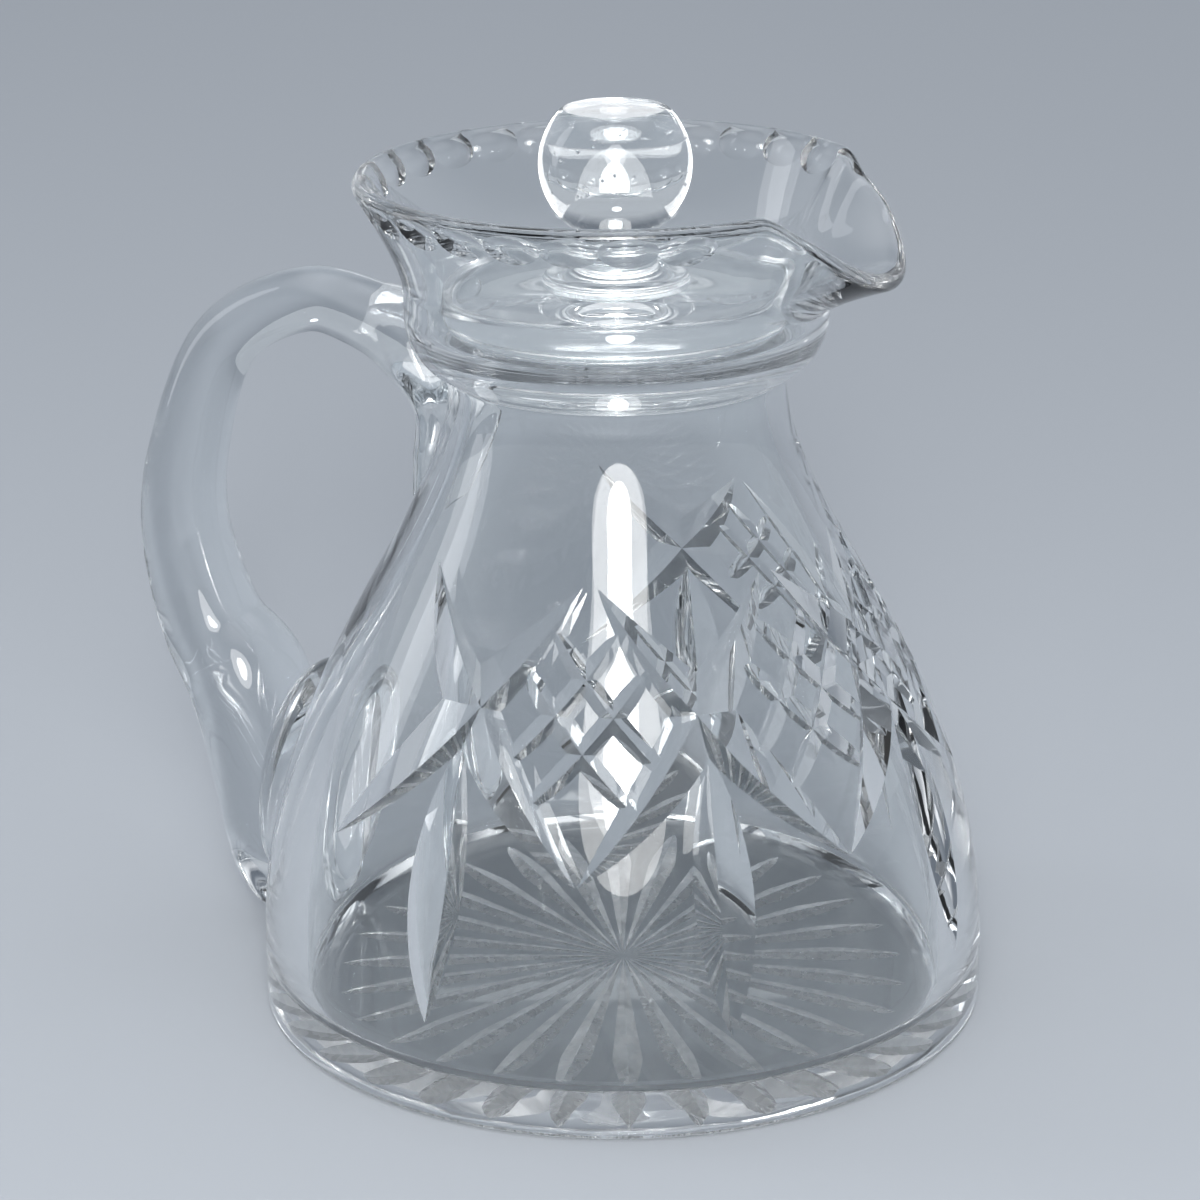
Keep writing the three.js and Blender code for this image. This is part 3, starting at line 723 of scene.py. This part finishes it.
def flute_cutters(vessel, lip, material):
    """Flattened balls that cut an almond each, under the rounded edge of the rim."""
    cutters = []
    for index in range(lip.flutes):
        turn = math.pi + lip.flute_turn + (index - (lip.flutes - 1) / 2) * lip.flute_pitch
        outside = funnel_wall(vessel, lip, turn)[0]
        run = (outside[-1] - outside[-3]).normalized()
        outward = Vector((run.y, -run.x))
        away = outside[-1] - run * lip.flute_drop + outward * (lip.flute_wheel - lip.flute_depth)
        spread = Matrix.Diagonal((lip.flute_wheel, lip.flute_wheel, lip.flute_wheel * lip.flute_squash, 1))
        lean = Matrix.Rotation(math.atan2(run.x, run.y), 4, "Y")
        place = (Matrix.Translation(AXIS) @ Matrix.Rotation(turn, 4, "Z")
                 @ Matrix.Translation((away.x, 0, away.y)) @ lean)
        bm = bmesh.new()
        bmesh.ops.create_uvsphere(bm, u_segments=96, v_segments=48, radius=1, matrix=place @ spread)
        cutters.append(add_object("flute_wheel", bm, [material]))
    return cutters


# Handle

def through(points, along):
    """A smooth curve through points, at a share of their count, kept from looping where they are uneven."""
    spans = len(points) - 1
    first = min(int(along * spans), spans - 1)
    weight = along * spans - first
    near, far = points[first], points[first + 1]
    before = points[first - 1] if first > 0 else near * 2 - far
    after = points[first + 2] if first + 2 <= spans else far * 2 - near
    pairs = ((far, near), (near, before), (after, far))
    step, step_before, step_after = ((end - start).length ** 0.5 for end, start in pairs)
    leave = (near - before) / step_before - (far - before) / (step_before + step) + (far - near) / step
    arrive = (far - near) / step - (after - near) / (step + step_after) + (after - far) / step_after
    leave, arrive = leave * step, arrive * step
    cubic = near * 2 - far * 2 + leave + arrive
    square = far * 3 - near * 3 - leave * 2 - arrive
    return cubic * weight ** 3 + square * weight ** 2 + leave * weight + near


def core_outline(vessel):
    """A solid that fills the vessel out to the middle of its wall, as seen on the handle's side."""
    neck = vessel.neck_radius - vessel.neck_wall / 2
    collar = vessel.neck_radius + vessel.ring_bulge - vessel.collar_wall / 2
    ledge = vessel.neck_height + vessel.seat_rise - vessel.seat_round
    foot = vessel.base_radius - vessel.lower_wall / 2
    side = side_curve(vessel, foot, vessel.floor_thickness / 2, neck, 48)
    top = vessel.neck_height + vessel.collar_rise
    return [Vector((0, side[0].y)), *side, Vector((collar, ledge)), Vector((collar, top)), Vector((0, top))]


def handle_stations(vessel, sizes):
    """The rod's line from its upper to its lower tip: distance from the axis, height, thickness, width."""
    line = side_line(vessel)
    mm = MILLIMETRE

    def on_body(height, out):
        return float(np.interp(height, *line)) + out

    def pressed(part):
        """Where a named part of the rod lies along the body."""
        standoff, height, thickness, width = (
            getattr(sizes, f"{part}_{measure}") for measure in ("standoff", "height", "thickness", "width"))
        return on_body(height, standoff), height, thickness, width
    grip = sizes.reach - sizes.rod_grip_thickness / 2
    grip_thickness, grip_width = sizes.rod_grip_thickness, sizes.rod_grip_width
    ring_radius = vessel.neck_radius + vessel.ring_bulge
    top = sizes.top_height - sizes.rod_top_thickness / 2
    top_thickness, top_width = sizes.rod_top_thickness, sizes.rod_top_width
    tail_low = sizes.root_tail_height
    tail_middle = tail_low + sizes.root_tail_length / 2 - mm
    tail_top = tail_low + sizes.root_tail_length
    tail_thickness, root_width = sizes.root_tail_thickness, sizes.root_width
    return [
        # the upper tail, drawn out flat on the neck
        (on_body(tail_low, 0), tail_low, 0.4 * tail_thickness, 0.4 * root_width),
        (on_body(tail_middle, mm), tail_middle, 0.74 * tail_thickness, 0.7 * root_width),
        (on_body(tail_top, 2.5 * mm), tail_top, tail_thickness, 0.85 * root_width),
        # the root against the ring, and the arch over the opening
        (ring_radius + 1.8 * mm, vessel.neck_height + 1.8 * mm, sizes.root_thickness, 0.85 * root_width),
        (ring_radius + 11 * mm, top - 1.5 * mm, top_thickness + 0.6 * mm, top_width + 2 * mm),
        ((ring_radius + grip) / 2 - 2 * mm, top, top_thickness, top_width),
        (grip - 10.2 * mm, top - 8.2 * mm, top_thickness + 0.4 * mm, top_width + 0.5 * mm),
        # the grip, down to where the rod turns in
        (grip - 1.9 * mm, sizes.shoulder_height, grip_thickness - 2 * mm, grip_width - mm),
        (grip, sizes.grip_height, grip_thickness, grip_width),
        (on_body(sizes.bend_height, sizes.bend_standoff), sizes.bend_height,
         grip_thickness + 2.4 * mm, grip_width + 3 * mm),
        # the pad, pressed on the body
        *(pressed(part) for part in ("elbow", "pad", "foot", "tail", "tip")),
    ]


def seal_blob(vessel, sizes, material):
    """The oval lump of hot glass that the rod was pressed on with, lying along the body."""
    place, normal = on_side(side_line(vessel), math.pi, sizes.seal_height)
    lean = Matrix.Rotation(math.atan2(normal.z, -normal.x), 4, "Y")
    spread = Matrix.Diagonal((sizes.seal_rise, sizes.seal_width, sizes.seal_length, 1))
    bm = bmesh.new()
    bmesh.ops.create_uvsphere(bm, u_segments=72, v_segments=48, radius=1,
                              matrix=Matrix.Translation(place + AXIS) @ lean @ spread)
    face_outwards(bm)
    return add_object("seal", bm, [material])


# Materials

def surface_group():
    """A node group for the marks on glass: slow waves from blowing, drawn lines, and fine haze."""
    group = bpy.data.node_groups.new("glass_marks", "ShaderNodeTree")
    for name, default in zip(MARK_NAMES, USUAL_MARKS):
        socket = group.interface.new_socket(name, in_out="INPUT", socket_type="NodeSocketFloat")
        socket.default_value = default
    for name in ("Height", "Roughness"):
        group.interface.new_socket(name, in_out="OUTPUT", socket_type="NodeSocketFloat")
    nodes, links = group.nodes, group.links
    start = nodes.new("NodeGroupInput")
    end = nodes.new("NodeGroupOutput")
    place = nodes.new("ShaderNodeTexCoord")
    stretch = nodes.new("ShaderNodeCombineXYZ")
    for side in "XY":
        stretch.inputs[side].default_value = 1
    links.new(start.outputs["Stretch"], stretch.inputs["Z"])
    drawn = nodes.new("ShaderNodeVectorMath")
    drawn.operation = "MULTIPLY"
    links.new(place.outputs["Object"], drawn.inputs[0])
    links.new(stretch.outputs["Vector"], drawn.inputs[1])

    def noise(vector, scale, detail):
        node = nodes.new("ShaderNodeTexNoise")
        node.inputs["Detail"].default_value = detail
        links.new(vector, node.inputs["Vector"])
        links.new(start.outputs[scale], node.inputs["Scale"])
        return node.outputs["Fac"]

    def times(value, name):
        node = nodes.new("ShaderNodeMath")
        node.operation = "MULTIPLY"
        links.new(value, node.inputs[0])
        links.new(start.outputs[name], node.inputs[1])
        return node.outputs["Value"]
    waves = times(noise(place.outputs["Object"], "Wave Scale", 1.0), "Wave Height")
    lines = times(noise(drawn.outputs["Vector"], "Line Scale", 2.0), "Line Height")
    total = nodes.new("ShaderNodeMath")
    total.operation = "ADD"
    links.new(waves, total.inputs[0])
    links.new(lines, total.inputs[1])
    links.new(total.outputs["Value"], end.inputs["Height"])
    haze = times(noise(place.outputs["Object"], "Haze Scale", 3.0), "Haze")
    links.new(haze, end.inputs["Roughness"])
    return group


def plain_material(name, tint, values):
    """A material whose shader has a colour and the values named here."""
    material = bpy.data.materials.new(name)
    material.use_nodes = True
    inputs = material.node_tree.nodes["Principled BSDF"].inputs
    inputs["Base Color"].default_value = (*tint, 1)
    for socket, value in values.items():
        inputs[socket].default_value = value
    return material


def glass(name, tint, clearness=1):
    """A clear glass, with the marks that its making left."""
    material = plain_material(name, tint, {"Metallic": 0, "IOR": 1.54, "Transmission Weight": clearness})
    nodes, links = material.node_tree.nodes, material.node_tree.links
    shader = nodes["Principled BSDF"]
    group = nodes.new("ShaderNodeGroup")
    group.node_tree = bpy.data.node_groups.get("glass_marks") or surface_group()
    for socket, value in zip(MARK_NAMES, MARKS[name]):
        group.inputs[socket].default_value = value
    bump = nodes.new("ShaderNodeBump")
    bump.inputs["Strength"].default_value = 1
    bump.inputs["Distance"].default_value = MILLIMETRE
    links.new(group.outputs["Height"], bump.inputs["Height"])
    links.new(bump.outputs["Normal"], shader.inputs["Normal"])
    links.new(group.outputs["Roughness"], shader.inputs["Roughness"])
    return material


def joint_glass(name):
    """The patch where two pieces are fused: glass on both sides, so nothing bends or shines."""
    return plain_material(name, (1, 1, 1), {"Roughness": 0, "IOR": 1, "Transmission Weight": 1})


# Operators

class JUG_OT_vessel(Operator):
    """Turn the vessel and cut its lip, flutes, band and star"""
    bl_idname = "jug.vessel"
    bl_label = "Vessel"

    def execute(self, context):
        vessel, lip, cuts = context.scene.jug_vessel, context.scene.jug_lip, context.scene.jug_cuts
        tint = context.scene.jug_finish.glass
        blown = glass("blown_glass", tint)
        facet = glass("cut_facet", tint)
        satin = glass("ground_ray", (1, 1, 1), clearness=0.75)
        body = turned("cut_glass_vessel", lambda turn: vessel_outline(vessel, lip, turn),
                      VESSEL_SIDES, [blown])
        line = side_line(vessel)
        cutters = [*mitre_cutters(cuts, line, facet), *hatch_cutters(cuts, line, facet),
                   *leaf_cutters(cuts, line, facet), *star_cutters(cuts, satin),
                   *flute_cutters(vessel, lip, facet)]
        carve(body, cutters)
        discard(cutters)
        return {"FINISHED"}


class JUG_OT_handle(Operator):
    """Draw the handle's rod and fuse it to the vessel"""
    bl_idname = "jug.handle"
    bl_label = "Handle"

    def execute(self, context):
        vessel, sizes = context.scene.jug_vessel, context.scene.jug_handle
        drawn = glass("drawn_glass", context.scene.jug_finish.drawn)
        stations = handle_stations(vessel, sizes)
        centres = [Vector((-out, 0, height)) for out, height, _, _ in stations]
        spans = [Vector((thick, wide, 0)) for _, _, thick, wide in stations]

        def ring_at(along):
            centre, span = through(centres, along), through(spans, along)
            ahead, behind = min(1, along + RUN_REACH), max(0, along - RUN_REACH)
            run = (through(centres, ahead) - through(centres, behind)).normalized()
            across = Vector((run.z, 0, -run.x)) * span.x / 2
            sideways = Vector((0, span.y / 2, 0))
            turns = (index / ROD_CORNERS * FULL_TURN for index in range(ROD_CORNERS))
            return [centre + across * math.cos(turn) + sideways * math.sin(turn) for turn in turns]
        rod = bent_bar("applied_handle", ROD_CORNERS, ROD_STATIONS, ring_at, [drawn])
        seal = seal_blob(vessel, sizes, drawn)
        carve(rod, [seal], "UNION")
        core = turned("core", lambda turn: core_outline(vessel), CORE_SIDES, [drawn])
        carve(rod, [core])
        discard([seal, core])
        body = bpy.data.objects["cut_glass_vessel"]
        fuse(body, rod, joint_glass("fused_handle_joint"))
        finish_piece(body, "jug", "jug_body")
        finish_piece(rod, "jug", "handle")
        return {"FINISHED"}


class JUG_OT_lid(Operator):
    """Turn the lid's plate and its knob, and fuse them"""
    bl_idname = "jug.lid"
    bl_label = "Lid"

    def execute(self, context):
        vessel, lid = context.scene.jug_vessel, context.scene.jug_lid
        tint = context.scene.jug_finish.glass
        ground = glass("ground_plate_glass", tint)
        polished = glass("knob_glass", tint)
        plate = turned("lid_plate_glass", lambda turn: plate_outline(vessel, lid), PLATE_SIDES, [ground])
        knob = turned("lid_knob_glass", lambda turn: knob_outline(vessel, lid), KNOB_SIDES, [polished])
        random.seed(7)
        centre = Vector((AXIS_X, 0, lid_bottom(vessel, lid) + lid.thickness + lid.ball_rise))
        seeds = []
        for _ in range(lid.seeds):
            bm = bmesh.new()
            offset = Vector([random.uniform(*reach) for reach in SEED_PLACES])
            place = centre + offset * lid.ball_radius * SEED_SPREAD
            bmesh.ops.create_icosphere(bm, subdivisions=2, matrix=Matrix.Translation(place),
                                       radius=random.uniform(*SEED_RADII) * MILLIMETRE)
            seeds.append(add_object("seed", bm, [polished]))
        carve(knob, seeds)
        discard(seeds)
        fuse(plate, knob, joint_glass("fused_knob_joint"))
        finish_piece(plate, "lid", "lid_plate")
        finish_piece(knob, "lid", "lid_knob")
        return {"FINISHED"}


def area_light(name, place, target, width, height, power, tint):
    """A round panel of light, aimed at a point, which the camera doesn't see."""
    data = bpy.data.lights.new(name, "AREA")
    data.shape = "ELLIPSE"
    data.size, data.size_y = width, height
    data.energy = power
    data.color = tint
    lamp = placed(name, data)
    lamp.location = place
    lamp.rotation_euler = (Vector(target) - Vector(place)).to_track_quat("-Z", "Y").to_euler()
    lamp.visible_camera = False


def studio_room(finish):
    """A world as pale as the floor at eye level, dark above it and bright overhead, for crisp edges."""
    world = bpy.data.worlds.new("studio")
    world.use_nodes = True
    nodes, links = world.node_tree.nodes, world.node_tree.links
    place = nodes.new("ShaderNodeTexCoord")
    split = nodes.new("ShaderNodeSeparateXYZ")
    ramp = nodes.new("ShaderNodeValToRGB")
    links.new(place.outputs["Generated"], split.inputs["Vector"])
    links.new(split.outputs["Z"], ramp.inputs["Fac"])
    stops = ((0.34, finish.horizon), (0.54, finish.shoulder),
             (0.66, finish.shoulder), (0.85, finish.ceiling))
    while len(ramp.color_ramp.elements) < len(stops):
        ramp.color_ramp.elements.new(1)
    for stop, (height, tint) in zip(ramp.color_ramp.elements, stops):
        stop.position = height
        stop.color = (*tint, 1)
    links.new(ramp.outputs["Color"], nodes["Background"].inputs["Color"])
    nodes["Background"].inputs["Strength"].default_value = finish.ceiling_strength
    return world


class JUG_OT_stage(Operator):
    """Set the floor, the lights, the room and the camera"""
    bl_idname = "jug.stage"
    bl_label = "Stage"

    def execute(self, context):
        scene, finish = context.scene, context.scene.jug_finish
        bm = bmesh.new()
        bmesh.ops.create_circle(bm, cap_ends=True, segments=96, radius=6,
                                matrix=Matrix.Translation((0, 0, -0.05 * MILLIMETRE)))
        floor = placed("floor", mesh_of("floor", bm))
        floor.data.materials.append(plain_material("floor_paper", finish.floor,
                                                   {"Roughness": 0.9, "Specular IOR Level": 0.1}))

        scene.world = studio_room(finish)

        for panel in PANELS:
            area_light(*panel)

        camera = placed("camera", bpy.data.cameras.new("camera"))
        camera.data.lens = LENS
        camera.data.clip_start = 0.01
        place = Matrix.Translation(CAMERA_FROM_AXIS + AXIS)
        aim = Matrix.Rotation(CAMERA_YAW, 4, "Z") @ Matrix.Rotation(math.pi / 2 - CAMERA_PITCH, 4, "X")
        camera.matrix_world = place @ aim @ Matrix.Rotation(CAMERA_ROLL, 4, "Z")
        scene.camera = camera

        scene.view_settings.view_transform = "Standard"
        scene.cycles.max_bounces = 32
        scene.cycles.transmission_bounces = 32
        scene.cycles.glossy_bounces = 16
        scene.cycles.sample_clamp_indirect = 20
        return {"FINISHED"}


class JUG_PT_sidebar(Panel):
    """Lists the steps that build the jug and its stage"""
    bl_idname = "JUG_PT_sidebar"
    bl_label = "Cut Glass Jug"
    bl_space_type = "VIEW_3D"
    bl_region_type = "UI"
    bl_category = "Jug"

    def draw(self, context):
        for operator in STEPS:
            self.layout.operator(operator.bl_idname)
        for group in GROUPS:
            box = self.layout.box()
            for name in GROUPS[group].__annotations__:
                box.prop(getattr(context.scene, group), name)


GROUPS = {"jug_vessel": VesselSizes, "jug_lip": LipSizes, "jug_cuts": CutSizes, "jug_handle": HandleSizes,
          "jug_lid": LidSizes, "jug_finish": Finish}
STEPS = (JUG_OT_vessel, JUG_OT_handle, JUG_OT_lid, JUG_OT_stage)
CLASSES = (*GROUPS.values(), *STEPS, JUG_PT_sidebar)


def register():
    for cls in CLASSES:
        bpy.utils.register_class(cls)
    for name, group in GROUPS.items():
        setattr(bpy.types.Scene, name, PointerProperty(type=group))


def unregister():
    for name in GROUPS:
        delattr(bpy.types.Scene, name)
    for cls in reversed(CLASSES):
        bpy.utils.unregister_class(cls)


def main():
    register()
    bpy.ops.jug.vessel()
    bpy.ops.jug.handle()
    bpy.ops.jug.lid()
    bpy.ops.jug.stage()


if __name__ == "__main__":
    main()
